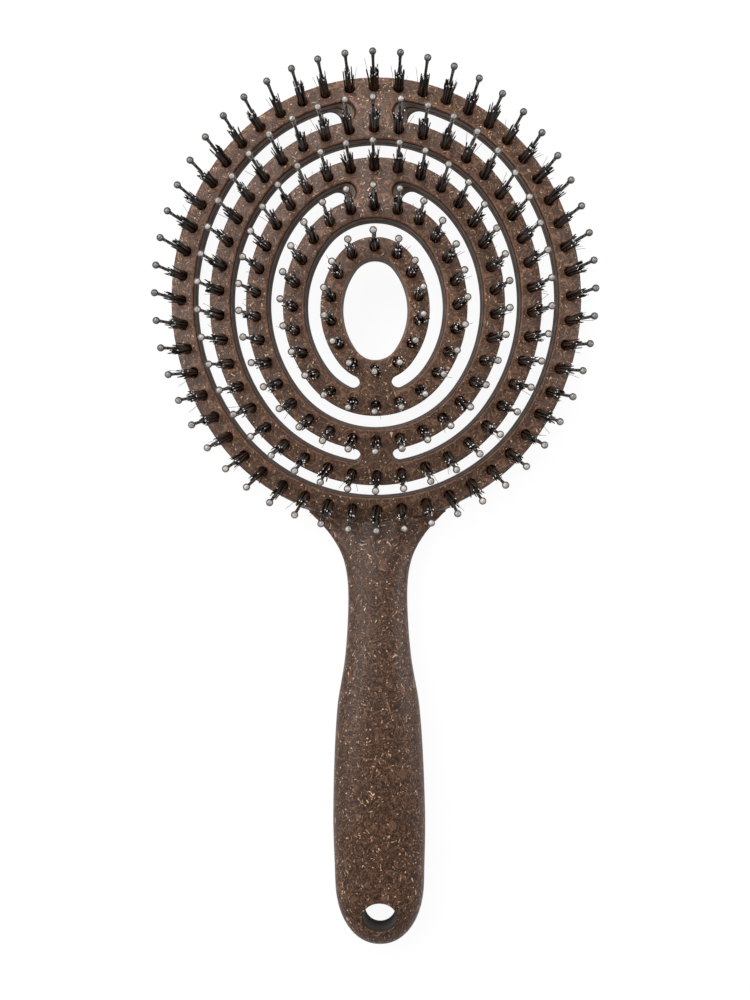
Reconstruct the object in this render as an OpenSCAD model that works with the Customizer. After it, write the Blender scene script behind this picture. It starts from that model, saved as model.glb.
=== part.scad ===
// Round detangling brush: a flat handle that runs into an oval ring, and four smaller oval rings nested
// inside it. Each ring hangs on the next one out by a single narrow bridge, at the top and at the bottom in
// turn, so the whole domed head gives way like a spring. Every hole in the rings holds one nylon pin with
// a ball tip and a tuft of boar bristle, pulled in together by a metal anchor.
// Millimetres. The brush lies on its back: +Z is the way the pins point, +Y runs from the handle to the head.

/* [Head] */
// Half-width of the outer ring
head_a = 55.1; // [54:0.1:56]
// How much longer than wide each oval's half-axis is
oval_extra = 4.6; // [4:0.1:5]
// Width of the outer ring
outer_ring_w = 6.1; // [5.9:0.1:6.3]
// Width of each inner ring
ring_w = 5.5; // [5.3:0.1:5.7]
// Half-width of the second ring
second_a = 44.3; // [44:0.1:44.5]
// Step in half-width from one inner ring to the next
ring_pitch = 9.95; // [9.85:0.05:10.05]
// How far each ring's middle lies nearer to the handle than the last one's
ring_shift = 0.87; // [0.8:0.01:0.95]
// How far, beyond that, the four inner rings lie nearer to the handle than the outer one
first_shift = 0.45; // [0.3:0.05:0.5]
// Radius of the dome that the rings follow
dome_r = 155; // [150:1:170]
// Thickness of the rings
ring_t = 4.8; // [4.6:0.1:5.2]
// Height of the outer ring's front edge above the table
rim_z = 5.2; // [5:0.1:5.6]
// How far the ring walls lean outwards, as a slope
wall_lean = 0.25; // [0.2:0.01:0.26]

/* [Bridges] */
// Width of the bridge between two rings
bridge_w = 8; // [7:0.1:9]
// Half-height of the bridge's socket
bridge_h = 1.9; // [1.8:0.1:2]
// Radius of the bridge's flexing line
knuckle_r = 1.1; // [1:0.05:1.15]
// Radial clearance of the flexing line
knuckle_gap = 0.05; // [0.04:0.01:0.08]

/* [Tufts] */
// Tufts in each ring, from the outer one inwards
tuft_counts = [52, 42, 34, 24, 14];
// Radius of a tuft hole
hole_r = 1.3; // [1.25:0.01:1.45]
// Depth of a tuft hole
hole_d = 3.9; // [3.8:0.1:4]
// Radius of a nylon pin
pin_r = 0.4; // [0.35:0.01:0.5]
// Height of a ball tip's middle above the ring
pin_h = 14.7; // [13:0.1:16]
// Radius of a ball tip
ball_r = 0.98; // [0.9:0.01:1.1]
// Height of the bristles above the ring
bristle_h = 9.5; // [8:0.1:10]
// Radius of a tuft at the bristles' ends
bristle_end_r = 1.9; // [1.6:0.1:2.1]

/* [Handle] */
// Length from the handle's end to the outer ring's middle
handle_len = 171.6; // [171:0.1:172]
// Half-width of the grip at its widest
grip_a = 12.2; // [12:0.1:12.5]
// Half-width of the neck
neck_a = 7.9; // [7.6:0.1:8.1]
// Thickness of the grip
grip_t = 17; // [16:0.1:18]
// Radius of the hanging hole
hang_r = 4.1; // [3.5:0.1:4.5]
// Distance of the hanging hole from the handle's end
hang_s = 8.5; // [8:0.1:9]

/* [Hidden] */

// Overlap that joins two solids of one piece
weld = 1;
// An oval is four arcs. Their centres lie on the two axes, on the corners of 3-4-5 triangles, so that
// the arcs meet smoothly: those of the sides this far from the middle, and those of the ends this far.
side_c = 2 * oval_extra;
end_c = 1.5 * oval_extra;
// Half of the angle that an end arc turns through
end_half = atan2(4, 3);
// Outer and inner half-width, and width of a ring, counted from 1 at the outside
function outer_a(i) = i == 1 ? head_a : second_a - ring_pitch * (i - 2);
function width(i) = i == 1 ? outer_ring_w : ring_w;
function inner_a(i) = outer_a(i) - width(i);
function mid_a(i) = outer_a(i) - width(i) / 2;
// Height of the dome's front face where an oval of half-width a lies
function dome_z(a) = rim_z + (head_a * head_a - a * a) / (2 * dome_r);

// Where the head and the origin lie: the origin is under the middle of the whole brush
top_tip_y = mid_a(1) + oval_extra;
tip_reach = top_tip_y + pin_h * top_tip_y / dome_r + ball_r;
head_y = (handle_len - tip_reach) / 2;
end_y = head_y - handle_len;
function ring_y(i) = head_y - ring_shift * (i - 1) - (i > 1 ? first_shift : 0);

// Radius of the side arcs and of the end arcs
function side_r(a) = a + side_c;
function end_r(a) = a + oval_extra - end_c;

// Angle that arc number q turns through, its radius and its centre: 0 is at the top, 1 at the right
function arc_span(q) = q == 0 || q == 4 ? end_half : q == 2 ? 2 * end_half : 180 - 2 * end_half;
function arc_r(a, q) = q % 2 == 0 ? end_r(a) : side_r(a);
function arc_centre(q) = [[0, end_c], [-side_c, 0], [0, -end_c], [side_c, 0]][q % 4];
// Clockwise angle from the top, and the arc's number, after length s along an oval
function turn_at(a, s, q = 0, from = 0) =
    let(part = arc_r(a, q) * arc_span(q) * PI / 180)
    s <= part || q == 4 ? [from + s / arc_r(a, q) * 180 / PI, q] :
    turn_at(a, s - part, q + 1, from + arc_span(q));
function oval_len(a) = (end_r(a) * end_half + side_r(a) * (90 - end_half)) * 4 * PI / 180;
// Point of an oval after length s from the top, clockwise
function oval_point(a, s) =
    let(t = turn_at(a, s), c = arc_centre(t[1]), r = arc_r(a, t[1]))
    [c[0] + r * sin(t[0]), c[1] + r * cos(t[0])];
// Base of tuft number k of ring i, measured from the ring's middle
function tuft_point(i, k) = oval_point(mid_a(i), oval_len(mid_a(i)) * k / tuft_counts[i - 1]);

// Outline of a ring's cross-section: half-width across, height up, with the edges taken off
edge = 0.35;
back_edge = 0.9;
function ring_section(i) =
    let(ao = outer_a(i), ai = inner_a(i), zo = dome_z(ao), zi = dome_z(ai))
    let(lo = wall_lean * ring_t, li = (i == 5 ? 0.3 : 1) * wall_lean * ring_t)
    [
        [ao - edge, zo + edge * ao / dome_r],
        [mid_a(i), dome_z(mid_a(i))],
        [ai + edge, zi - edge * ai / dome_r],
        [ai, zi - edge],
        [ai - li, zi - ring_t + edge],
        [ai - li + edge, zi - ring_t],
        [ao - lo - back_edge, zo - ring_t + back_edge * ao / dome_r],
        [ao - lo + (i == 1 ? 0.4 : 0), zo - ring_t + back_edge],
        [ao, zo - edge - (i == 1 ? 1 : 0)]
    ];

// Wedge that holds one arc of every oval, about that arc's centre
wedge = 30;
module arc_wedge(q) {
    side = q % 2 == 1;
    along = (side ? 4 : 3) * wedge;
    across = (side ? 3 : 4) * wedge;
    tip = side ? [-side_c, 0] : [0, end_c];
    ends = side ? [[along, across], [along, -across]] : [[across, along], [-across, along]];
    linear_extrude(height = 4 * rim_z)
        polygon([tip, tip + ends[0], tip + ends[1]]);
}

// One quarter of an oval ring: its cross-section turned about the arc's centre, cut to the wedge
module ring_arc(i, q) {
    side = q % 2 == 1;
    mirror(q == 3 ? [1, 0, 0] : q == 2 ? [0, 1, 0] : [0, 0, 0])
        intersection() {
            translate(side ? [-side_c, 0, 0] : [0, end_c, 0])
                rotate_extrude($fn = 180)
                    translate([side ? side_c : oval_extra - end_c, 0])
                        polygon(ring_section(i));
            arc_wedge(q);
        }
}

// One closed oval ring
module oval_ring(i) {
    translate([0, ring_y(i), 0]) {
        ring_arc(i, 0);
        ring_arc(i, 1);
        ring_arc(i, 2);
        ring_arc(i, 3);
    }
}

// Puts its children on every tuft hole of a ring, square to the dome, with z = 0 on the ring's face
module at_tufts(i) {
    for (k = [0 : tuft_counts[i - 1] - 1]) {
        p = tuft_point(i, k);
        translate([p[0], p[1] + ring_y(i), dome_z(mid_a(i))])
            rotate([0, asin(norm(p) / dome_r), atan2(p[1], p[0])])
                children();
    }
}

module tuft_holes(i) {
    at_tufts(i)
        translate([0, 0, -hole_d])
            cylinder(r = hole_r, h = hole_d + 2, $fn = 32);
}

// Bridges sit at the top of the first and third slots, and at the bottom of the second and fourth.
function bridge_side(i) = i % 2 == 1 ? 1 : -1;
function bridge_in(i) = ring_y(i) + bridge_side(i) * (inner_a(i) + oval_extra);
function bridge_out(i) = ring_y(i + 1) + bridge_side(i) * (outer_a(i + 1) + oval_extra);
function bridge_y(i) = (bridge_in(i) + bridge_out(i)) / 2 - bridge_side(i) * wall_lean * ring_t / 2;
function bridge_z(i) = (dome_z(inner_a(i)) + dome_z(outer_a(i + 1))) / 2 - ring_t / 2;

// Half of the bridge on the outer ring's side, ending in the round line that it bends about
module bridge_root(i) {
    reach = abs(bridge_in(i) - bridge_y(i)) + weld;
    translate([0, bridge_y(i), bridge_z(i)]) {
        rotate([0, 90, 0])
            cylinder(r = knuckle_r, h = bridge_w, center = true, $fn = 48);
        translate([0, bridge_side(i) * reach / 2, 0])
            cube([bridge_w, reach, knuckle_r], center = true);
    }
}

// Half of the bridge on the inner ring's side, which wraps that line
module bridge_tip(i) {
    reach = abs(bridge_out(i) - bridge_y(i)) + weld;
    translate([0, bridge_y(i) - bridge_side(i) * reach / 2, bridge_z(i)])
        cube([bridge_w, reach, 2 * bridge_h], center = true);
}

module bridge_socket(i) {
    translate([0, bridge_y(i), bridge_z(i)])
        rotate([0, 90, 0])
            cylinder(r = knuckle_r + knuckle_gap, h = bridge_w + 2 * weld, center = true, $fn = 48);
}

// Handle: its half-width, the height of its middle and its half-thickness at stations from the end,
// joined by smooth curves. Every column is [distance from the end, value].
cap = 17;
cap_power = 2.1;
half_w = [
    [0, 11.8], [16, 11.8], [35, grip_a], [62, 11], [76, 8.8], [90, neck_a],
    [98, 8.3], [104, 10.1], [110, 14.2], [113.5, 18], [117, 24]
];
half_t = [
    [0, 7.2], [16, 7.8], [35, grip_t / 2], [62, 8], [90, 5.7], [102, 4.4], [111, 2.5], [117, 1.2]
];
mid_z = [
    [0, 8], [16, 8.1], [35, grip_t / 2], [62, 8.1], [90, 6.1], [102, 4.8], [111, 3.3], [117, 3.5]
];
function slope(t, j) =
    j == 0 || j == len(t) - 1 ? 0 : (t[j + 1][1] - t[j - 1][1]) / (t[j + 1][0] - t[j - 1][0]);
function smooth(t, s, j = 0) =
    s > t[j + 1][0] && j < len(t) - 2 ? smooth(t, s, j + 1) :
    let(d = t[j + 1][0] - t[j][0], u = (s - t[j][0]) / d)
    let(v = u * u, w = v * u)
    (2 * w - 3 * v + 1) * t[j][1] + (w - 2 * v + u) * d * slope(t, j)
        + (3 * v - 2 * w) * t[j + 1][1] + (w - v) * d * (j == len(t) - 2 ? 2 : slope(t, j + 1));
function cap_part(s) = s >= cap ? 1 : pow(1 - pow(1 - s / cap, cap_power), 1 / cap_power);

cap_steps = 9;
grip_steps = 25;
sides = 28;
grip_end = 116.5;
stations = concat(
    [for (j = [1 : cap_steps]) cap * (1 - cos(90 * j / cap_steps))],
    [for (j = [1 : grip_steps]) cap + (grip_end - cap) * j / grip_steps]
);
// Cross-section: an oval a little fuller than an ellipse
fullness = 0.9;
function bulge(x) = sign(x) * pow(abs(x), fullness);
function handle_ring(s) = [
    for (j = [0 : sides - 1])
        let(t = 360 * j / sides)
        [
            bulge(cos(t)) * smooth(half_w, s) * cap_part(s),
            end_y + s,
            smooth(mid_z, s) + bulge(sin(t)) * smooth(half_t, s) * cap_part(s)
        ]
];

module handle_body() {
    n = len(stations);
    points = concat(
        [for (s = stations) each handle_ring(s)],
        [[0, end_y, smooth(mid_z, 0)], [0, end_y + grip_end, smooth(mid_z, grip_end)]]
    );
    faces = concat(
        [for (k = [0 : n - 2], j = [0 : sides - 1])
            let(a = k * sides, b = (j + 1) % sides)
            each [
                [a + j, a + sides + b, a + sides + j],
                [a + j, a + b, a + sides + b]
            ]],
        [for (j = [0 : sides - 1]) [n * sides, (j + 1) % sides, j]],
        [for (j = [0 : sides - 1])
            [n * sides + 1, (n - 1) * sides + j, (n - 1) * sides + (j + 1) % sides]]
    );
    polyhedron(points, faces);
}

module hang_hole() {
    translate([0, end_y + hang_s, -1])
        cylinder(r = hang_r, h = grip_t + 2, $fn = 64);
}

// The handle and the outer ring are one moulding: the handle's end fits round the ring's lowest arc
module handle() {
    color("#3d2a22")
        difference() {
            handle_body();
            translate([0, ring_y(1), 0])
                ring_arc(1, 2);
            hang_hole();
        }
}

module outer_ring() {
    color("#3d2a22")
        difference() {
            union() {
                oval_ring(1);
                bridge_root(1);
            }
            tuft_holes(1);
        }
}

module inner_ring(i) {
    color("#3d2a22")
        difference() {
            union() {
                difference() {
                    union() {
                        oval_ring(i);
                        bridge_tip(i - 1);
                    }
                    bridge_socket(i - 1);
                }
                if (i < 5)
                    bridge_root(i);
            }
            tuft_holes(i);
        }
}

// Nylon pin, from just above the anchor to the middle of its ball
anchor_h = 0.8;
root_z = anchor_h + 0.05 - hole_d;
module pins(i) {
    color("#141210")
        at_tufts(i)
            translate([0, 0, root_z])
                cylinder(r = pin_r, h = pin_h - root_z, $fn = 16);
}

// Ball of resin dipped onto the end of each pin
play = 0.02;
module tips(i) {
    color("#8f8580")
        at_tufts(i)
            translate([0, 0, pin_h])
                difference() {
                    sphere(r = ball_r, $fn = 24);
                    translate([0, 0, -2 * ball_r])
                        cylinder(r = pin_r + play, h = 2 * ball_r + play, $fn = 16);
                }
}

// Boar bristle, packed round the pin in the hole and spreading above it
module tufts(i) {
    color("#1b1512")
        at_tufts(i)
            rotate_extrude($fn = 24)
                polygon([
                    [pin_r + play, root_z],
                    [hole_r - play, root_z],
                    [hole_r - play, 0.6],
                    [bristle_end_r, bristle_h],
                    [pin_r + play, bristle_h]
                ]);
}

// Flat wire anchor across the bottom of each hole, with its ends bitten into the wall
anchor_bite = 0.12;
anchor_w = 0.5;
module anchors(i) {
    color("#b8b2a4")
        at_tufts(i)
            translate([-hole_r - anchor_bite, -anchor_w / 2, -hole_d])
                cube([2 * (hole_r + anchor_bite), anchor_w, anchor_h]);
}

handle();
outer_ring();  // ring_1
inner_ring(2);  // ring_2
inner_ring(3);  // ring_3
inner_ring(4);  // ring_4
inner_ring(5);  // ring_5
pins(1);  // pins_1
pins(2);  // pins_2
pins(3);  // pins_3
pins(4);  // pins_4
pins(5);  // pins_5
tips(1);  // tips_1
tips(2);  // tips_2
tips(3);  // tips_3
tips(4);  // tips_4
tips(5);  // tips_5
tufts(1);  // tufts_1
tufts(2);  // tufts_2
tufts(3);  // tufts_3
tufts(4);  // tufts_4
tufts(5);  // tufts_5
anchors(1);  // anchors_1
anchors(2);  // anchors_2
anchors(3);  // anchors_3
anchors(4);  // anchors_4
anchors(5);  // anchors_5
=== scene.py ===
import math
import random

import bpy
from mathutils import Matrix, Vector


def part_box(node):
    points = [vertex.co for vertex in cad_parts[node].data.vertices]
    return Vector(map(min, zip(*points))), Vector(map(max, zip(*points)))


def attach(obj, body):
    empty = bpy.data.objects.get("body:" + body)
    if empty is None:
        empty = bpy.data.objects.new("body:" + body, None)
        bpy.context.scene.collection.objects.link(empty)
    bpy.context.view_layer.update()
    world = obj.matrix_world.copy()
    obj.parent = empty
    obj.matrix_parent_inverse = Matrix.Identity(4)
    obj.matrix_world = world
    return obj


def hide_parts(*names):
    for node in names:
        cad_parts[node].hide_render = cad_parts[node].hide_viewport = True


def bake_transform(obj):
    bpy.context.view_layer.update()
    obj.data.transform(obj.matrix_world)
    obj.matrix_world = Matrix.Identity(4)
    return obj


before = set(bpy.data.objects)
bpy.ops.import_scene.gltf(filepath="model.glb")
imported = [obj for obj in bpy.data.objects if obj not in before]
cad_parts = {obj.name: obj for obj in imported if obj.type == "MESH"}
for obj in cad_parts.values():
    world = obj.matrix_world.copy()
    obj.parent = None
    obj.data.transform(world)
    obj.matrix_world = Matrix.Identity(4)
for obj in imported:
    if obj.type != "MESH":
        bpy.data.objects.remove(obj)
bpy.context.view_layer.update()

# ---------------------------------------------------------------------------------------------------
# The plastic. Handle and rings are moulded in one shot from a dark brown plastic filled with chopped
# plant fibre. The moulded faces show the fibres; the slots' walls are a plain skin of plastic.
# ---------------------------------------------------------------------------------------------------
def put(tree, kind, *feeds, **settings):
    """Adds a shader node, sets it up, and feeds its inputs in their order; None leaves one as it is."""
    made = tree.nodes.new(kind)
    for name, value in settings.items():
        setattr(made, name, value)
    for socket, feed in zip(made.inputs, feeds):
        if isinstance(feed, bpy.types.NodeSocket):
            tree.links.new(feed, socket)
        elif feed is not None:
            socket.default_value = feed
    return made


def sums(tree, operation, *feeds):
    return put(tree, "ShaderNodeMath", *feeds, operation=operation).outputs[0]


def stretch(tree, place, by):
    return put(tree, "ShaderNodeVectorMath", place, by, operation="MULTIPLY").outputs[0]


def clouds(tree, place, scale, detail):
    """Noise of so many features per unit of length: its value, and a vector that wanders about 0.5."""
    noise = put(tree, "ShaderNodeTexNoise", place)
    noise.inputs["Scale"].default_value = scale
    noise.inputs["Detail"].default_value = detail
    return noise.outputs["Fac"], noise.outputs["Color"]


def fade(tree, value, start, end):
    """0 at start, 1 at end, smooth between and flat outside."""
    return put(tree, "ShaderNodeMapRange", value, start, end, 0.0, 1.0,
               interpolation_type="SMOOTHSTEP").outputs[0]


def tint(tree, part, under, over):
    """The colour `over` laid on `under` by `part`."""
    laid = put(tree, "ShaderNodeMix", data_type="RGBA")
    for number, feed in ((0, part), (6, under), (7, over)):
        if isinstance(feed, bpy.types.NodeSocket):
            tree.links.new(feed, laid.inputs[number])
        else:
            laid.inputs[number].default_value = feed
    return laid.outputs[2]


def new_material(name):
    """A material, its node tree, its shader's inputs and the place on the piece in millimetres."""
    material = bpy.data.materials.new(name)
    material.use_nodes = True
    tree = material.node_tree
    place = stretch(tree, put(tree, "ShaderNodeTexCoord").outputs["Object"], (1000, 1000, 1000))
    return material, tree, tree.nodes["Principled BSDF"].inputs, place


def roughen(tree, face, value, least, most):
    tree.links.new(sums(tree, "MULTIPLY_ADD", value, most - least, least), face["Roughness"])


def emboss(tree, face, height, strength, depth):
    bump = put(tree, "ShaderNodeBump")
    bump.inputs["Strength"].default_value = strength
    bump.inputs["Distance"].default_value = depth
    tree.links.new(height, bump.inputs["Height"])
    tree.links.new(bump.outputs[0], face["Normal"])


# Fibres that lie one way: long grains of random lightness, cut at random depths by the surface.
fibres = bpy.data.node_groups.new("chopped_fibres", "ShaderNodeTree")
for label, kind in (("Place", "Vector"), ("Turn", "Float"), ("Size", "Vector"), ("Offset", "Vector"),
                    ("Girth", "Float")):
    fibres.interface.new_socket(name=label, in_out="INPUT", socket_type="NodeSocket" + kind)
for label in ("Fibre", "Rim"):
    fibres.interface.new_socket(name=label, in_out="OUTPUT", socket_type="NodeSocketFloat")
given = fibres.nodes.new("NodeGroupInput").outputs
shown = fibres.nodes.new("NodeGroupOutput").inputs
lying = put(fibres, "ShaderNodeVectorRotate", given["Place"], rotation_type="Z_AXIS")
fibres.links.new(given["Turn"], lying.inputs["Angle"])
moved = put(fibres, "ShaderNodeVectorMath", lying.outputs[0], given["Offset"], operation="ADD")
cells = put(fibres, "ShaderNodeTexVoronoi", put(
    fibres, "ShaderNodeVectorMath", moved.outputs[0], given["Size"], operation="DIVIDE").outputs[0])
cells.inputs["Scale"].default_value = 1
chance = put(fibres, "ShaderNodeSeparateColor", cells.outputs["Color"]).outputs[0]
lightness = sums(fibres, "MULTIPLY_ADD", sums(fibres, "MULTIPLY", chance, chance), 0.85, 0.15)
far = sums(fibres, "DIVIDE", cells.outputs["Distance"], given["Girth"])
fibres.links.new(sums(fibres, "MULTIPLY", fade(fibres, far, 1, 0.72), lightness), shown["Fibre"])
fibres.links.new(sums(fibres, "MULTIPLY", fade(fibres, far, 1.7, 1.15), lightness), shown["Rim"])

# The moulded face: fibres that lie five ways and wander, each with a dark rim, fine curls of shorter
# ones, pale specks, and the swirls in which the plastic ran, which show more on the head.
DARK = (0.012, 0.0052, 0.0028, 1)
BROWN = (0.054, 0.027, 0.0165, 1)
TAN = (0.29, 0.142, 0.076, 1)
COPPER = (0.23, 0.125, 0.076, 1)
UMBER = (0.118, 0.074, 0.056, 1)
PALE = (0.62, 0.42, 0.28, 1)
FIBRES = [(1.45, (5.5, 0.62, 0.62), 0.26), (0.3, (4.2, 0.56, 0.56), 0.24), (-0.7, (3.8, 0.6, 0.6), 0.24),
          (1.05, (3.2, 0.6, 0.6), 0.24), (-1.3, (2.4, 0.54, 0.54), 0.24)]
plastic, tree, face, mm = new_material("fibre_plastic")
wander = put(tree, "ShaderNodeVectorMath", clouds(tree, mm, 0.3, 1)[1], (0.5, 0.5, 0.5),
             operation="SUBTRACT").outputs[0]
bent = put(tree, "ShaderNodeVectorMath", mm, stretch(tree, wander, (4, 4, 4)), operation="ADD").outputs[0]
fibre = rim = 0.0
for n, (turn, size, girth) in enumerate(FIBRES):
    layer = put(tree, "ShaderNodeGroup", node_tree=fibres)
    tree.links.new(bent, layer.inputs["Place"])
    layer.inputs["Turn"].default_value = turn
    layer.inputs["Size"].default_value = size
    layer.inputs["Offset"].default_value = (17.3 * n, 9.1 * n, 5.7 * n)
    layer.inputs["Girth"].default_value = girth
    fibre = sums(tree, "MAXIMUM", fibre, layer.outputs[0])
    rim = sums(tree, "MAXIMUM", rim, layer.outputs[1])
gaps = fade(tree, clouds(tree, mm, 0.8, 2)[0], 0.32, 0.54)
curl = sums(tree, "ABSOLUTE", sums(tree, "SUBTRACT", clouds(tree, bent, 1.05, 1)[0], 0.5))
curl = fade(tree, curl, 0.032, 0.012)
head = fade(tree, put(tree, "ShaderNodeSeparateXYZ", mm).outputs[1], -8, 2)
swirl = sums(tree, "SINE", sums(tree, "MULTIPLY", clouds(tree, bent, 0.24, 1)[0], 34))
swirl = sums(tree, "MULTIPLY", fade(tree, swirl, 0.55, 1), gaps)
dots = put(tree, "ShaderNodeTexVoronoi", mm)
dots.inputs["Scale"].default_value = 0.72
chance = put(tree, "ShaderNodeSeparateColor", dots.outputs["Color"]).outputs[0]
speck = sums(tree, "MULTIPLY", fade(tree, dots.outputs["Distance"], 0.2, 0.1), fade(tree, chance, 0.3, 1))
mottle = clouds(tree, mm, 1.7, 3)[0]
ground = tint(tree, fade(tree, mottle, 0.2, 0.8), DARK, BROWN)
ground = tint(tree, sums(tree, "MULTIPLY", head, 0.44), ground, UMBER)
ground = tint(tree, sums(tree, "MULTIPLY", curl, 0.4), ground, TAN)
ground = tint(tree, sums(tree, "MULTIPLY", rim, 0.8), ground, DARK)
swirl = sums(tree, "MULTIPLY", swirl, sums(tree, "MULTIPLY_ADD", head, 0.27, 0.35))
ground = tint(tree, swirl, ground, COPPER)
ground = tint(tree, fibre, ground, TAN)
ground = tint(tree, fade(tree, fibre, 0.7, 1), ground, PALE)
ground = tint(tree, speck, ground, PALE)
ground = tint(tree, sums(tree, "MULTIPLY_ADD", head, -0.3, 0.3), ground, DARK)
tree.links.new(ground, face["Base Color"])
roughen(tree, face, mottle, 0.32, 0.57)
emboss(tree, face, mottle, 0.3, 0.00006)
face["Specular IOR Level"].default_value = 0.2

# A slot's wall: grey-brown, with fine lines along it. Under the front edge it is darkened by painted shade;
# it is also darker half-way, where the mould's halves meet, and along the back.
wall, tree, face, mm = new_material("slot_wall")
lines = clouds(tree, stretch(tree, mm, (0.4, 0.4, 5.2)), 1, 3)[0]
ground = tint(tree, fade(tree, lines, 0.3, 0.7), (0.066, 0.049, 0.040, 1), (0.220, 0.172, 0.146, 1))
depth = put(tree, "ShaderNodeAttribute", attribute_name="depth").outputs["Fac"]
parting = sums(tree, "ABSOLUTE", sums(tree, "SUBTRACT", depth, 2.8))
# Painted shade under the front edge, with the dark parting line and the darker back.
painted_shade_and_dark_lines = sums(tree, "MAXIMUM", fade(tree, depth, 1.3, 0.9), fade(tree, parting, 0.3, 0.1))
painted_shade_and_dark_lines = sums(tree, "MAXIMUM", painted_shade_and_dark_lines, fade(tree, depth, 4.1, 4.4))
ground = tint(tree, sums(tree, "MULTIPLY", painted_shade_and_dark_lines, 0.85), ground, (0.012, 0.007, 0.005, 1))
tree.links.new(ground, face["Base Color"])
roughen(tree, face, lines, 0.4, 0.65)
emboss(tree, face, lines, 0.2, 0.00004)
face["Specular IOR Level"].default_value = 0.03

# The rounded front edges on the rings' inner sides and the tuft holes' rims: a lighter copper, a painted
# highlight where these rounds catch the light.
painted_edge_highlight, tree, face, mm = new_material("painted_edge_highlight")
flecks = clouds(tree, mm, 1.3, 2)[0]
tree.links.new(tint(tree, fade(tree, flecks, 0.3, 0.6), (0.060, 0.023, 0.011, 1), (0.190, 0.078, 0.038, 1)),
               face["Base Color"])
roughen(tree, face, flecks, 0.3, 0.6)

# ---------------------------------------------------------------------------------------------------
# The head: five oval rings on a shallow dome, moulded in one with the handle. Every oval is four arcs
# that meet smoothly, so each edge of a ring is drawn flat, by swinging a point round the arcs' centres,
# and then pressed onto the dome.
# ---------------------------------------------------------------------------------------------------
RINGS = ["ring_1", "ring_2", "ring_3", "ring_4", "ring_5"]
oval_extra = 0.0046
side_c = 2 * oval_extra
end_c = 1.5 * oval_extra
end_turn = math.atan2(4, 3)
side_turn = math.pi - 2 * end_turn
ring_t = 0.0048
ring_w = [0.0061, 0.0055, 0.0055, 0.0055, 0.0055]
ring_shift = 0.00087
first_shift = 0.00045
wall_lean = 0.25
dome_r = 0.155
rim_z = 0.0052
outer_a = [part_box(ring)[1].x for ring in RINGS]
inner_a = [a - w for a, w in zip(outer_a, ring_w)]
mid_a = [(a + b) / 2 for a, b in zip(outer_a, inner_a)]
head_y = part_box("ring_1")[1].y - outer_a[0] - oval_extra
ring_y = [head_y - ring_shift * k - (first_shift if k else 0) for k in range(5)]


def middle_of(a):
    """Where along Y the oval of half-width a has its middle: from ring to ring it moves to the handle."""
    for k in range(5):
        if a >= inner_a[k] and (k == 0 or a <= outer_a[k]):
            return ring_y[k]
        if k and outer_a[k] < a < inner_a[k - 1]:
            part = (a - outer_a[k]) / (inner_a[k - 1] - outer_a[k])
            return ring_y[k] + part * (ring_y[k - 1] - ring_y[k])
    return ring_y[4]


def dome_z(a):
    return rim_z + (outer_a[0] ** 2 - a * a) / (2 * dome_r)


def oval_through(place):
    """Half-width of the oval through a point of the head, and the way that it faces there."""
    a = mid_a[0]
    for turn in range(4):
        x, y = place.x, place.y - middle_of(a)
        on_end = abs(y) - end_c > 0.75 * abs(x)
        if on_end:
            out = Vector((x, y - math.copysign(end_c, y), 0))
        else:
            out = Vector((x + math.copysign(side_c, x), y, 0))
        a = out.length + (end_c - oval_extra if on_end else -side_c)
    return a, out.normalized()


def press_on_dome(piece):
    """Lifts a flat drawing onto the dome, and leans what is below the face in towards the middle."""
    for v in piece.data.vertices:
        a, out = oval_through(v.co)
        v.co += out * wall_lean * v.co.z + Vector((0, 0, dome_z(a)))


def start_point(place):
    """A new mesh with one selected point, ready to be drawn on."""
    bpy.ops.object.select_all(action="DESELECT")
    bpy.ops.mesh.primitive_plane_add(size=0.001, location=(0, 0, 0))
    bpy.ops.object.mode_set(mode="EDIT")
    bpy.ops.mesh.merge(type="CENTER")
    bpy.ops.transform.translate(value=place)


def swing(x, y, turn, steps=0):
    """Draws an arc from the selected points, clockwise round (x, y)."""
    steps = steps or max(1, round(abs(turn) / math.radians(2)))
    bpy.ops.mesh.spin(steps=steps, angle=turn, center=(x, y, 0), axis=(0, 0, 1))


def draw_oval(y, a, z):
    start_point((0, y + a + oval_extra, z))
    swing_oval(y)


def swing_oval(y):
    """Carries the selected points once round an oval whose middle is at y, from its top."""
    swing(0, y + end_c, end_turn)
    swing(-side_c, y, side_turn)
    swing(0, y - end_c, 2 * end_turn)
    swing(side_c, y, side_turn)
    swing(0, y + end_c, end_turn)


def draw_slot(k, grow, z):
    """Outline of the slot between rings k and k + 1, grown by a margin: a C with round ends."""
    side = 1 if k % 2 == 0 else -1
    wide = grow * lip if z > -0.0005 else grow
    half = bridge_w / 2 + end_lean[k] * max(0, -z) - wide
    big = inner_a[k] + wide + oval_extra - end_c
    small = outer_a[k + 1] - grow + oval_extra - end_c
    far = side * ring_y[k] + end_c
    near = side * ring_y[k + 1] + end_c
    low, high = 0.0005, 0.006
    for step in range(40):
        r = (low + high) / 2
        x = half + r
        gap = far + math.sqrt((big - r) ** 2 - x * x) - near - math.sqrt((small + r) ** 2 - x * x)
        low, high = (r, high) if gap > 0 else (low, r)
    y = far + math.sqrt((big - r) ** 2 - x * x)
    outer_turn = math.atan2(x, y - far)
    inner_turn = math.atan2(x, y - near)
    start_point((big * math.sin(outer_turn), side * (far + big * math.cos(outer_turn)), z))
    for centre, first, way in ((far, outer_turn, 1), (near, inner_turn, -1)):
        middle = centre - end_c
        swing(0, side * centre, side * way * (end_turn - first), 22)
        swing(-way * side_c, side * middle, side * way * side_turn)
        swing(0, side * (middle - end_c), side * way * 2 * end_turn)
        swing(way * side_c, side * middle, side * way * side_turn)
        swing(0, side * centre, side * way * (end_turn - first), 22)
        swing(-way * x, side * y, side * (math.pi - inner_turn + outer_turn), 16)


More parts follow.
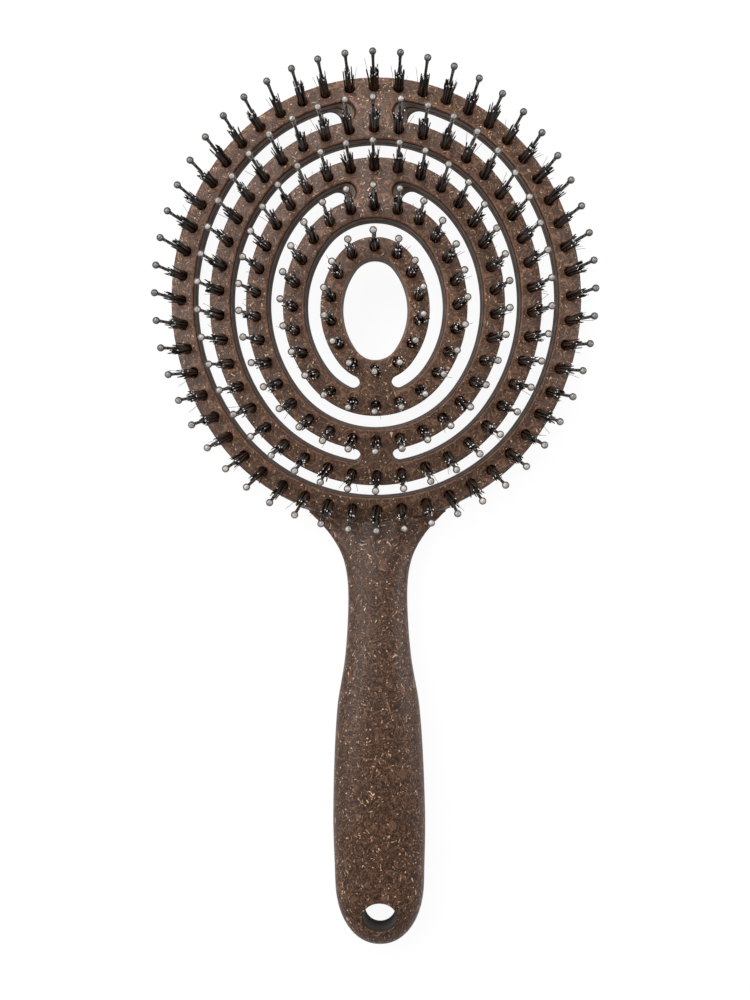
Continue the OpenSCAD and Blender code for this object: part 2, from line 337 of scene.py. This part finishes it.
def join(name, pieces):
    bpy.ops.object.select_all(action="DESELECT")
    for piece in pieces:
        piece.select_set(True)
    bpy.context.view_layer.objects.active = pieces[0]
    bpy.ops.object.join()
    pieces[0].name = pieces[0].data.name = name
    return pieces[0]


def loft(name, draw, levels):
    """A solid through the outlines that draw(grow, z) gives at each level, closed at both ends."""
    outlines = []
    for z, grow in levels:
        draw(grow, z)
        bpy.ops.object.mode_set(mode="OBJECT")
        outlines.append(bpy.context.object)
    join(name, outlines)
    bpy.ops.object.mode_set(mode="EDIT")
    bpy.ops.mesh.select_all(action="SELECT")
    bpy.ops.mesh.remove_doubles(threshold=0.000002)
    bpy.ops.mesh.bridge_edge_loops()
    for z in (levels[0][0], levels[-1][0]):
        pick(lambda v: abs(v.co.z - z) < 0.000001)
        bpy.ops.mesh.edge_face_add()
    bpy.ops.mesh.select_all(action="SELECT")
    bpy.ops.mesh.normals_make_consistent(inside=False)
    bpy.ops.object.mode_set(mode="OBJECT")
    return bpy.context.object


def pick(test):
    """Selects the points of the mesh being edited that pass a test, and nothing else."""
    bpy.ops.mesh.select_mode(type="VERT")
    bpy.ops.mesh.select_all(action="DESELECT")
    bpy.ops.object.mode_set(mode="OBJECT")
    for v in bpy.context.object.data.vertices:
        v.select = test(v)
    bpy.ops.object.mode_set(mode="EDIT")


def cut(piece, tool, operation="DIFFERENCE"):
    bpy.context.view_layer.objects.active = piece
    boolean = piece.modifiers.new("cut", "BOOLEAN")
    boolean.operation = operation
    boolean.object = tool
    boolean.solver = "MANIFOLD"
    bpy.ops.object.modifier_apply(modifier="cut")


# Slots and seams. Each slot has a lip round its front edge, wider on the ring outside it, a fine line
# under that where the mould's halves meet, and a softer round on the back. The upper slots' ends slope in
# under the bridge. A seam crosses a bridge just inside the outer ring's wall.
bridge_w = 0.0084
end_lean = [1.1, 0.06, 0.75, 0.06]
lip = 1.5
seam_in = 0.0006
slot_levels = [
    (-ring_t - 0.0015, 0.0009), (-ring_t, 0.00045), (-ring_t + 0.00015, 0.00018), (-ring_t + 0.0005, 0),
    (-0.00085, 0), (-0.00075, 0.00014), (-0.00058, 0.00014), (-0.0005, 0),
    (-0.0003, 0.00003), (-0.00015, 0.0001), (-0.00005, 0.0002), (0, 0.0003), (0.0015, 0.0007),
]
slots = []
seams = []
for k in range(4):
    slots.append(loft(f"slot_cutter_{k}", lambda grow, z: draw_slot(k, grow, z), slot_levels))
    press_on_dome(slots[k])
    seam_levels = [(-ring_t - 0.003, 0), (-ring_t / 2, 0), (0, 0), (0.003, 0)]
    seams.append(loft(f"seam_cutter_{k}",
                      lambda grow, z: draw_oval(ring_y[k], inner_a[k] - seam_in, z), seam_levels))
    press_on_dome(seams[k])


# Tuft holes. Each ring is drilled square to the dome along its middle line, evenly spaced from the top,
# and each hole has a slightly dished rim.
TUFTS = [52, 42, 34, 24, 14]
hole_r = 0.0013


def trace(points):
    """Draws a line through points (x, y, z), each from the last."""
    start_point(points[0])
    for here, there in zip(points, points[1:]):
        step = Vector(there) - Vector(here)
        bpy.ops.mesh.extrude_vertices_move(TRANSFORM_OT_translate={"value": step})


def turned(name, profile, sides):
    """A solid turned about Z from a profile of (radius, z) that starts and ends on the axis."""
    trace([(r, 0, z) for r, z in profile])
    bpy.ops.mesh.select_all(action="SELECT")
    bpy.ops.mesh.spin(steps=sides, angle=2 * math.pi, center=(0, 0, 0), axis=(0, 0, 1))
    close_up()
    bpy.context.object.name = bpy.context.object.data.name = name
    return bpy.context.object


def close_up():
    """Merges the seams of the mesh being edited, turns its faces outwards and leaves edit mode."""
    bpy.ops.mesh.select_all(action="SELECT")
    bpy.ops.mesh.remove_doubles(threshold=0.000002)
    bpy.ops.mesh.normals_make_consistent(inside=False)
    bpy.ops.object.mode_set(mode="OBJECT")


def copies(original, places, name):
    """One mesh of as many copies of a piece as there are places."""
    made = []
    for place in places:
        one = original.copy()
        one.data = original.data.copy()
        one.data.transform(place)
        bpy.context.collection.objects.link(one)
        made.append(one)
    return join(name, made)


def tuft_places(k):
    """Where the tufts of ring k stand: evenly along its middle line, square to the dome."""
    end_r = mid_a[k] + oval_extra - end_c
    side_r = mid_a[k] + side_c
    arcs = [(0, end_c, end_r, end_turn), (-side_c, 0, side_r, side_turn), (0, -end_c, end_r, 2 * end_turn),
            (side_c, 0, side_r, side_turn), (0, end_c, end_r, end_turn)]
    pitch = sum(r * turn for x, y, r, turn in arcs) / TUFTS[k]
    places = []
    for n in range(TUFTS[k]):
        along, turned_by = n * pitch, 0
        for x, y, r, turn in arcs:
            if along <= r * turn + 0.0000001:
                break
            along -= r * turn
            turned_by += turn
        turned_by += along / r
        foot = Vector((x + r * math.sin(turned_by), y + r * math.cos(turned_by), 0))
        tip = Matrix.Rotation(math.asin(foot.length / dome_r), 4, "Y")
        face = Matrix.Rotation(math.atan2(foot.y, foot.x), 4, "Z")
        places.append(Matrix.Translation(foot + Vector((0, ring_y[k], dome_z(mid_a[k])))) @ face @ tip)
    return places


drill = turned("drill", [
    (0, -0.0033), (0.0013, -0.0033), (hole_r, -0.003), (hole_r, -0.0004), (hole_r + 0.00006, -0.00018),
    (hole_r + 0.0003, 0), (hole_r + 0.0006, 0.0003), (hole_r + 0.0007, 0.0012), (0, 0.0012)], 28)
drills = [copies(drill, tuft_places(k), f"drills_{k}") for k in range(5)]


# Inner rings. Each is a strip of the dome, from its own inner edge to the seam in the bridge that it
# hangs on, with the slots and the tuft holes cut out of it.
def swept(name, k, section):
    """A closed cross-section of (half-width, depth) swept round ring k's oval and pressed on the dome."""
    trace([(0, ring_y[k] + oval_extra + a, z) for a, z in section + section[:1]])
    bpy.ops.mesh.select_all(action="SELECT")
    swing_oval(ring_y[k])
    close_up()
    blank = bpy.context.object
    blank.name = blank.data.name = name
    press_on_dome(blank)
    return blank


def row(start, end, count):
    return [start + (end - start) * n / count for n in range(count + 1)]


def cut_ring(ring, k):
    """Takes ring k's slots, seams and tuft holes out of its blank."""
    if k:
        cut(ring, seams[k - 1], "INTERSECT")
        cut(ring, slots[k - 1])
    if k < 4:
        cut(ring, seams[k])
        cut(ring, slots[k])
    cut(ring, drills[k])


def under_face(place):
    """Half-width of the oval that a point of a ring was drawn on, and its depth under the ring's face."""
    a, depth = oval_through(place)[0], 0
    for turn in range(3):
        depth = dome_z(a + wall_lean * depth) - place.z
    return a + wall_lean * depth, depth


rim_in = 0.0004
hole_band = 0.0019


def finish_skin(piece):
    """Lays the three materials by face, and shades it smooth with its sharp edges kept."""
    piece.data.materials.clear()
    for material in (plastic, wall, painted_edge_highlight):
        piece.data.materials.append(material)
    depths = piece.data.attributes.new("depth", "FLOAT", "POINT").data
    for v in piece.data.vertices:
        depths[v.index].value = 1000 * under_face(v.co)[1]
    for face in piece.data.polygons:
        a, depth = under_face(face.center)
        k = sum(a < edge_a for edge_a in outer_a[1:])
        # The outer ring's outer round, above the neck, takes the slot wall's material, whose painted shade
        # makes a dark line along it.
        rim = outer_a[0] - rim_in < a and face.center.y > 0.006 and 0.00008 < depth < 0.0006
        # Rounds on a ring's inner edge and round the tuft holes take the painted edge highlight; deeper faces
        # take the slot wall's material.
        if rim or (a < mid_a[0] + hole_band and depth > 0.00003 and face.normal.z > -0.5):
            if a < mid_a[k] - hole_band:
                highlight_depth = 0.00045
            else:
                highlight_depth = 0.0002 if a < mid_a[k] + hole_band else 0
            face.material_index = 2 if depth < highlight_depth else 1
    bpy.ops.object.select_all(action="DESELECT")
    piece.select_set(True)
    bpy.context.view_layer.objects.active = piece
    bpy.ops.object.shade_smooth_by_angle(angle=math.radians(40))
    piece.modifiers.new("weigh", "WEIGHTED_NORMAL").keep_sharp = True
    bpy.ops.object.modifier_apply(modifier="weigh")


# Inner rings: each is swept, cut and finished, and its part from the model is hidden.
BODIES = ["frame", "second_ring", "third_ring", "fourth_ring", "fifth_ring"]
for k in range(1, 5):
    outside = inner_a[k - 1] + 0.0012
    if k < 4:
        inside = inner_a[k] - 0.0015
        edge = [(inside, 0), (inside, -ring_t)]
    else:
        inside = inner_a[4]
        edge = [(inside + 0.00045, 0), (inside + 0.00015, -0.00005), (inside, -0.0002), (inside, -0.0005),
                (inside + 0.0006, -ring_t + 0.0004), (inside + 0.0009, -ring_t)]
    rows = row(edge[0][0], outside, 8)[:0:-1]
    back = row(edge[-1][0], outside, 8)[1:]
    ring = swept(f"oval_ring_{k + 1}", k, [(a, 0) for a in rows] + edge + [(a, -ring_t) for a in back])
    cut_ring(ring, k)
    finish_skin(ring)
    side = 1 if k % 2 else -1
    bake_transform(ring)
    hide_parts(RINGS[k])


# ---------------------------------------------------------------------------------------------------
# Handle and outer ring, in one piece. The handle is a rounded bar, thickest in the palm, slim at the
# neck, and it spreads and thins into the outer ring's lowest arc. A hole for hanging goes right through.
# ---------------------------------------------------------------------------------------------------
end_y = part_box("handle")[0].y
half_width = [(0, 11.8), (16, 11.8), (35, 12.2), (62, 11), (76, 8.8), (90, 7.9), (98, 8.3), (104, 10.1),
              (110, 14.2), (113.5, 18), (117, 24)]
half_depth = [(0, 7.2), (16, 7.8), (35, 8.5), (62, 8), (90, 5.7), (102, 4.4), (111, 2.5), (117, 1.2)]
middle_z = [(0, 8), (16, 8.1), (35, 8.5), (62, 8.1), (90, 6.1), (102, 4.8), (111, 3.3), (117, 3.5)]
cap = 17
cap_power = 2.1


def smooth(table, s):
    """Value at s of the smooth curve through a table's (distance from the end, value) pairs."""
    def slope(n):
        if n in (0, len(table) - 1):
            return 0
        return (table[n + 1][1] - table[n - 1][1]) / (table[n + 1][0] - table[n - 1][0])
    n = max(n for n in range(len(table) - 1) if table[n][0] <= s or n == 0)
    (s0, v0), (s1, v1) = table[n], table[n + 1]
    d, u = s1 - s0, (s - s0) / (s1 - s0)
    last = 2 if n == len(table) - 2 else slope(n + 1)
    return ((2 * u**3 - 3 * u**2 + 1) * v0 + (u**3 - 2 * u**2 + u) * d * slope(n)
            + (3 * u**2 - 2 * u**3) * v1 + (u**3 - u**2) * d * last)


def station(s):
    """Place of the handle's middle, its half-width and its half-depth, s mm from its end, in metres."""
    full = 1 if s >= cap else (1 - (1 - s / cap) ** cap_power) ** (1 / cap_power)
    size = Vector((smooth(half_width, s) * full, 1000, smooth(half_depth, s) * full)) / 1000
    return Vector((0, end_y + s / 1000, smooth(middle_z, s) / 1000)), size


bpy.ops.object.select_all(action="DESELECT")
stations = [cap * (1 - math.cos(math.pi / 2 * n / 12)) for n in range(1, 13)] + row(cap, 116.5, 40)[1:]
bpy.ops.mesh.primitive_circle_add(vertices=56, radius=1, rotation=(math.pi / 2, 0, 0))
handle = bpy.context.object
handle.name = handle.data.name = "handle_and_outer_ring"
bpy.ops.object.transform_apply(rotation=True)
for v in handle.data.vertices:
    v.co = [math.copysign(abs(c) ** 0.9, c) for c in v.co]
bpy.ops.object.mode_set(mode="EDIT")
bpy.ops.mesh.select_all(action="SELECT")
middle, size = station(stations[0])
bpy.ops.transform.resize(value=size, center_override=(0, 0, 0))
bpy.ops.transform.translate(value=middle)
bpy.ops.mesh.edge_face_add()
for s in stations[1:]:
    there, grown = station(s)
    bpy.ops.mesh.extrude_region_move(TRANSFORM_OT_translate={"value": there - middle})
    bpy.ops.transform.resize(value=(grown.x / size.x, 1, grown.z / size.z), center_override=there)
    middle, size = there, grown
close_up()

# The outer ring's blank, with a rounded front edge and a softer back one, is joined to the handle and the
# two are fused into one skin, which is smoothed where the neck spreads into the ring.
a_out, a_in = outer_a[0], inner_a[0] - 0.002
section = [(a, 0) for a in row(a_out - 0.0005, a_in, 8)]
section += [(a, -ring_t) for a in row(a_in, a_out - 0.0009, 7)]
section += [(a_out - 0.0002, -0.0045), (a_out + 0.0002, -0.0039), (a_out + 0.0002, -0.0013),
            (a_out + 0.00008, -0.0006), (a_out - 0.00003, -0.00025), (a_out - 0.0002, -0.00006)]
blank = swept("outer_ring_blank", 0, section)
handle = join("handle_and_outer_ring", [handle, blank])
handle.data.remesh_voxel_size = 0.00045
bpy.ops.object.voxel_remesh()
neck = handle.vertex_groups.new(name="neck")
for v in handle.data.vertices:
    if v.co.y < 0.012 and abs(v.co.x) < 0.04:
        a = oval_through(v.co)[0]
        near = min(1, max(0, (a - 0.0525) / 0.002)) * min(1, max(0, (0.072 - a) / 0.008))
        side = min(1, max(0, (0.036 - abs(v.co.x)) / 0.012))
        if near * side > 0:
            neck.add([v.index], near * side, "REPLACE")
for group, rounds in (("", 2), ("neck", 40)):
    soften = handle.modifiers.new("soften", "SMOOTH")
    soften.factor = 0.5
    soften.iterations = rounds
    soften.vertex_group = group
    bpy.ops.object.modifier_apply(modifier="soften")
cut(handle, seams[0])
cut(handle, slots[0])
cut(handle, drills[0])

# The hanging hole is a little wider than high. Its rims are rounded and follow the handle's faces, its
# back end is drawn in, and a fine line half-way shows where the mould's two pins met.
hang_r = 0.0041
hang_s = 0.0085
bore = turned("hanging_bore", [
    (0, -0.004), (hang_r + 0.0012, -0.004), (hang_r + 0.0005, 0.0012), (hang_r + 0.0001, 0.0016),
    (hang_r - 0.0003, 0.0021), (hang_r - 0.0003, 0.0030), (hang_r, 0.0044), (hang_r, 0.0077),
    (hang_r + 0.00015, 0.0078), (hang_r, 0.0079), (hang_r, 0.0118), (hang_r + 0.00015, 0.0119),
    (hang_r, 0.0120), (hang_r, 0.0136), (hang_r + 0.0001, 0.0139), (hang_r + 0.0003, 0.0142),
    (hang_r + 0.0007, 0.0146), (hang_r + 0.0014, 0.0175), (0, 0.0175)], 64)
for v in bore.data.vertices:
    v.co.x *= 1.08
    v.co.y *= 0.95
    v.co.z += 0.4 * v.co.y * min(1, max(-1, (v.co.z - 0.008) / 0.005))
bore.data.transform(Matrix.Translation((0, end_y + hang_s, 0)))
cut(handle, bore)
finish_skin(handle)

# The bore's wall takes the slot wall's material, a plain skin like a slot's edge, and painted shade darkens
# all of it.
hang_centre = Vector((0, end_y + hang_s))
for face in handle.data.polygons:
    if abs(face.normal.z) < 0.7 and (face.center.xy - hang_centre).length < hang_r + 0.0006:
        face.material_index = 1
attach(handle, "frame")
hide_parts("handle", "ring_1")
for tool in [drill, bore] + slots + seams + drills:
    bpy.data.objects.remove(tool)

# ---------------------------------------------------------------------------------------------------
# Tufts: boar bristle, cut uneven, packed into each hole round a nylon pin. Strands stand nearly straight and
# are near black, with a painted brown reflection of the face towards the foot, and pale cut ends that also
# carry a painted highlight; two to a tuft stand out astray.
# ---------------------------------------------------------------------------------------------------
hair, tree, face, mm = new_material("boar_bristle")
streak = clouds(tree, stretch(tree, mm, (2.6, 2.6, 0.26)), 1, 2)[0]
up = put(tree, "ShaderNodeAttribute", attribute_name="up").outputs["Fac"]
ground = tint(tree, fade(tree, streak, 0.4, 0.75), (0.006, 0.005, 0.0045, 1), (0.050, 0.030, 0.021, 1))
# Painted reflection: the face's brown on the strands towards the foot.
foot = sums(tree, "MULTIPLY", fade(tree, up, 0.62, 0.15), fade(tree, streak, 0.3, 0.6))
ground = tint(tree, sums(tree, "MULTIPLY", foot, 0.85), ground, (0.105, 0.052, 0.031, 1))
tree.links.new(ground, face["Base Color"])
roughen(tree, face, streak, 0.18, 0.43)

# The pale cut ends, painted near white as a painted highlight on the tips.
pale_end_and_highlight, tree, face, mm = new_material("pale_end_and_highlight")
split = clouds(tree, mm, 1.5, 2)[0]
tree.links.new(tint(tree, fade(tree, split, 0.4, 0.6), (0.45, 0.42, 0.40, 1), (0.90, 0.88, 0.86, 1)),
               face["Base Color"])
roughen(tree, face, split, 0.2, 0.4)

bpy.ops.object.select_all(action="DESELECT")
bpy.ops.mesh.primitive_circle_add(vertices=5, radius=1, fill_type="NGON")
strand = bpy.context.object
strand.data.materials.append(hair)
strand.data.materials.append(pale_end_and_highlight)
bpy.ops.object.mode_set(mode="EDIT")
bpy.ops.mesh.select_all(action="SELECT")
for lift, narrow in ((0.35, 1), (0.3, 0.97), (0.3, 0.92), (0.05, 0.6)):
    bpy.ops.mesh.extrude_region_move(TRANSFORM_OT_translate={"value": (0, 0, lift)})
    bpy.ops.transform.resize(value=(narrow, narrow, 1), center_override=(0, 0, 0))
close_up()
for v, up in zip(strand.data.vertices, strand.data.attributes.new("up", "FLOAT", "POINT").data):
    up.value = v.co.z
bristle_foot = 0.0013
rng = random.Random(7)


def tuft(name, strands):
    made = []
    for n in range(strands):
        stray = n >= strands - 2
        turn = rng.uniform(0, 2 * math.pi)
        out = math.sqrt(rng.uniform(0.16, 1))
        length = rng.uniform(0.0072, 0.0086) if n % 3 else rng.uniform(0.0058, 0.0072)
        thick = 0.00006 if stray else rng.uniform(0.00015, 0.00024)
        lean = rng.uniform(0.1, 0.3) if stray else out * rng.uniform(-0.03, 0.05)
        bend = rng.uniform(-0.02, 0.06) * out
        sway = rng.uniform(-0.04, 0.04)
        one = strand.copy()
        one.data = strand.data.copy()
        bpy.context.collection.objects.link(one)
        way = Vector((math.cos(turn), math.sin(turn), 0))
        aside = Vector((-way.y, way.x, 0))
        for v in one.data.vertices:
            up = v.co.z
            along = length * up + bristle_foot * up
            spread = hole_r * 0.88 * out + along * (lean + bend * up * up)
            round_off = Vector((v.co.x * thick, v.co.y * thick, 0))
            v.co = way * spread + aside * along * sway * up + round_off + Vector((0, 0, along - bristle_foot))
        for face in one.data.polygons:
            # Two strands in five get the pale end with its painted highlight.
            face.material_index = 1 if n % 5 < 2 and face.center.z > 0.996 * (length - bristle_foot) else 0
        made.append(one)
    return join(name, made)


kinds = [tuft(f"tuft_{n}", 24) for n in range(7)]
for k in range(5):
    groups = []
    spots = tuft_places(k)
    chosen = [rng.randrange(len(kinds)) for spot in spots]
    for n, kind in enumerate(kinds):
        places = [spot @ Matrix.Rotation(rng.uniform(0, 2 * math.pi), 4, "Z")
                  @ Matrix.Rotation(rng.gauss(0, 0.03), 4, "X")
                  for spot, choice in zip(spots, chosen) if choice == n]
        if places:
            groups.append(copies(kind, places, f"part_{k}_{n}"))
    tufts = join(f"bristle_tufts_{k + 1}", groups)
    for face in tufts.data.polygons:
        face.use_smooth = True
    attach(tufts, BODIES[k])
    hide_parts(f"tufts_{k + 1}")
for tool in [strand] + kinds:
    bpy.data.objects.remove(tool)

# ---------------------------------------------------------------------------------------------------
# Pins and anchors, as built: a drawn black nylon pin stands in the middle of each tuft, and a flat brass
# wire bites into the hole's wall at its bottom and holds pin and bristle down.
# ---------------------------------------------------------------------------------------------------
nylon, tree, face, mm = new_material("nylon")
drawn = clouds(tree, stretch(tree, mm, (3, 3, 0.3)), 1, 2)[0]
tree.links.new(tint(tree, drawn, (0.005, 0.005, 0.005, 1), (0.022, 0.019, 0.017, 1)), face["Base Color"])
roughen(tree, face, drawn, 0.12, 0.37)

wire, tree, face, mm = new_material("anchor_wire")
tarnish = clouds(tree, mm, 2.2, 3)[0]
tree.links.new(tint(tree, tarnish, (0.30, 0.24, 0.15, 1), (0.72, 0.62, 0.42, 1)), face["Base Color"])
roughen(tree, face, tarnish, 0.2, 0.5)
face["Metallic"].default_value = 1
for k in range(1, 6):
    for kind, material in (("pins", nylon), ("anchors", wire)):
        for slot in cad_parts[f"{kind}_{k}"].material_slots:
            slot.material = material

# ---------------------------------------------------------------------------------------------------
# Ball tips: drops of hazy resin that ran down the end of each pin before they set. The outer row's are
# darkened away from the handle by painted shade, the thin necks show the black pin, and each ball gets a
# painted dark rim edge-on.
# ---------------------------------------------------------------------------------------------------
resin, tree, face, mm = new_material("resin")
haze = clouds(tree, mm, 0.9, 3)[0]
ground = tint(tree, fade(tree, haze, 0.35, 0.65), (0.28, 0.24, 0.21, 1), (0.58, 0.53, 0.49, 1))
where = put(tree, "ShaderNodeSeparateXYZ", mm)
# Painted shade: the outer row darker away from the handle.
painted_outer_row_shade = sums(tree, "MULTIPLY", fade(tree, where.outputs[2], 22, 20.5), fade(tree, where.outputs[1], 0, 45))
ground = tint(tree, sums(tree, "MULTIPLY", painted_outer_row_shade, 0.85), ground, (0.052, 0.045, 0.040, 1))
rise = put(tree, "ShaderNodeAttribute", attribute_name="rise").outputs["Fac"]
neck = sums(tree, "MULTIPLY", fade(tree, rise, -0.8, -1.5), 0.8)
ground = tint(tree, neck, ground, (0.03, 0.026, 0.023, 1))
# Painted shade: a dark rim on each ball, stronger edge-on.
painted_dark_rim = put(tree, "ShaderNodeLayerWeight", 0.5).outputs["Facing"]
ground = tint(tree, fade(tree, painted_dark_rim, 0.12, 0.5), ground, (0.022, 0.018, 0.015, 1))
tree.links.new(ground, face["Base Color"])
roughen(tree, face, haze, 0.08, 0.2)
face["Transmission Weight"].default_value = 0.3
face["IOR"].default_value = 1.5

pin_h = 0.0147
ball_r = 0.00098
pin_r = 0.0004
drop = turned("drop", [(0, -0.0036), (pin_r + 0.00001, -0.0036), (pin_r + 0.00004, -0.0024),
                       (pin_r + 0.00012, -0.0015)]
              + [(ball_r * math.sin(turn), -ball_r * math.cos(turn))
                 for turn in (math.radians(d) for d in range(48, 180, 18))] + [(0, ball_r)], 14)
drop.data.materials.append(resin)
for v, rise in zip(drop.data.vertices, drop.data.attributes.new("rise", "FLOAT", "POINT").data):
    rise.value = 1000 * v.co.z
for face in drop.data.polygons:
    face.use_smooth = True
for k in range(5):
    tips = copies(drop, [place @ Matrix.Translation((0, 0, pin_h)) for place in tuft_places(k)],
                  f"ball_tips_{k + 1}")
    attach(tips, BODIES[k])
    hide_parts(f"tips_{k + 1}")
bpy.data.objects.remove(drop)

# ---------------------------------------------------------------------------------------------------
# Table, light and camera.
# ---------------------------------------------------------------------------------------------------
bpy.ops.object.select_all(action="DESELECT")
bpy.ops.mesh.primitive_plane_add(size=6, location=(0, 0, 0))
floor = bpy.context.object
floor.name = "floor"
white = bpy.data.materials.new("table")
white.use_nodes = True
floor.data.materials.append(white)
nodes, links = white.node_tree.nodes, white.node_tree.links
principled = nodes["Principled BSDF"]
principled.inputs["Base Color"].default_value = (0.88, 0.88, 0.88, 1)
principled.inputs["Roughness"].default_value = 0.9
path = nodes.new("ShaderNodeLightPath").outputs
seen = sums(white.node_tree, "MAXIMUM", path["Is Camera Ray"],
            sums(white.node_tree, "MAXIMUM", path["Is Glossy Ray"], path["Is Transmission Ray"]))
mix = put(white.node_tree, "ShaderNodeMixShader", sums(white.node_tree, "MULTIPLY", seen, 0.93),
          principled.outputs[0], nodes.new("ShaderNodeEmission").outputs[0])
links.new(mix.outputs[0], nodes["Material Output"].inputs["Surface"])

world = bpy.context.scene.world or bpy.data.worlds.new("world")
bpy.context.scene.world = world
world.use_nodes = True
world.node_tree.nodes["Background"].inputs["Color"].default_value = (1, 1, 1, 1)
world.node_tree.nodes["Background"].inputs["Strength"].default_value = 0.5


def lamp(name, place, size, power):
    light = bpy.data.lights.new(name, "AREA")
    light.shape = "RECTANGLE"
    light.size, light.size_y = size
    light.energy = power
    rig = bpy.data.objects.new(name, light)
    bpy.context.collection.objects.link(rig)
    rig.location = place
    aim = Vector((0, 0, 0)) - Vector(place)
    rig.rotation_euler = aim.to_track_quat("-Z", "Y").to_euler()


lamp("softbox_top", (-0.25, 0.7, 0.9), (0.9, 0.5), 12)
lamp("softbox_left", (-0.8, 0.1, 0.6), (0.5, 0.8), 6.5)
lamp("softbox_right", (0.85, 0.15, 0.35), (0.5, 0.8), 5)

camera_data = bpy.data.cameras.new("camera")
camera = bpy.data.objects.new("camera", camera_data)
bpy.context.collection.objects.link(camera)
bpy.context.scene.camera = camera
camera_data.sensor_fit = "VERTICAL"
camera_data.angle = math.radians(37.02)
camera.location = (0.0084, -0.0032, 0.405)
camera.rotation_euler = [math.radians(d) for d in (0.5, 1.29, -0.42)]
bpy.context.scene.view_settings.view_transform = "Standard"
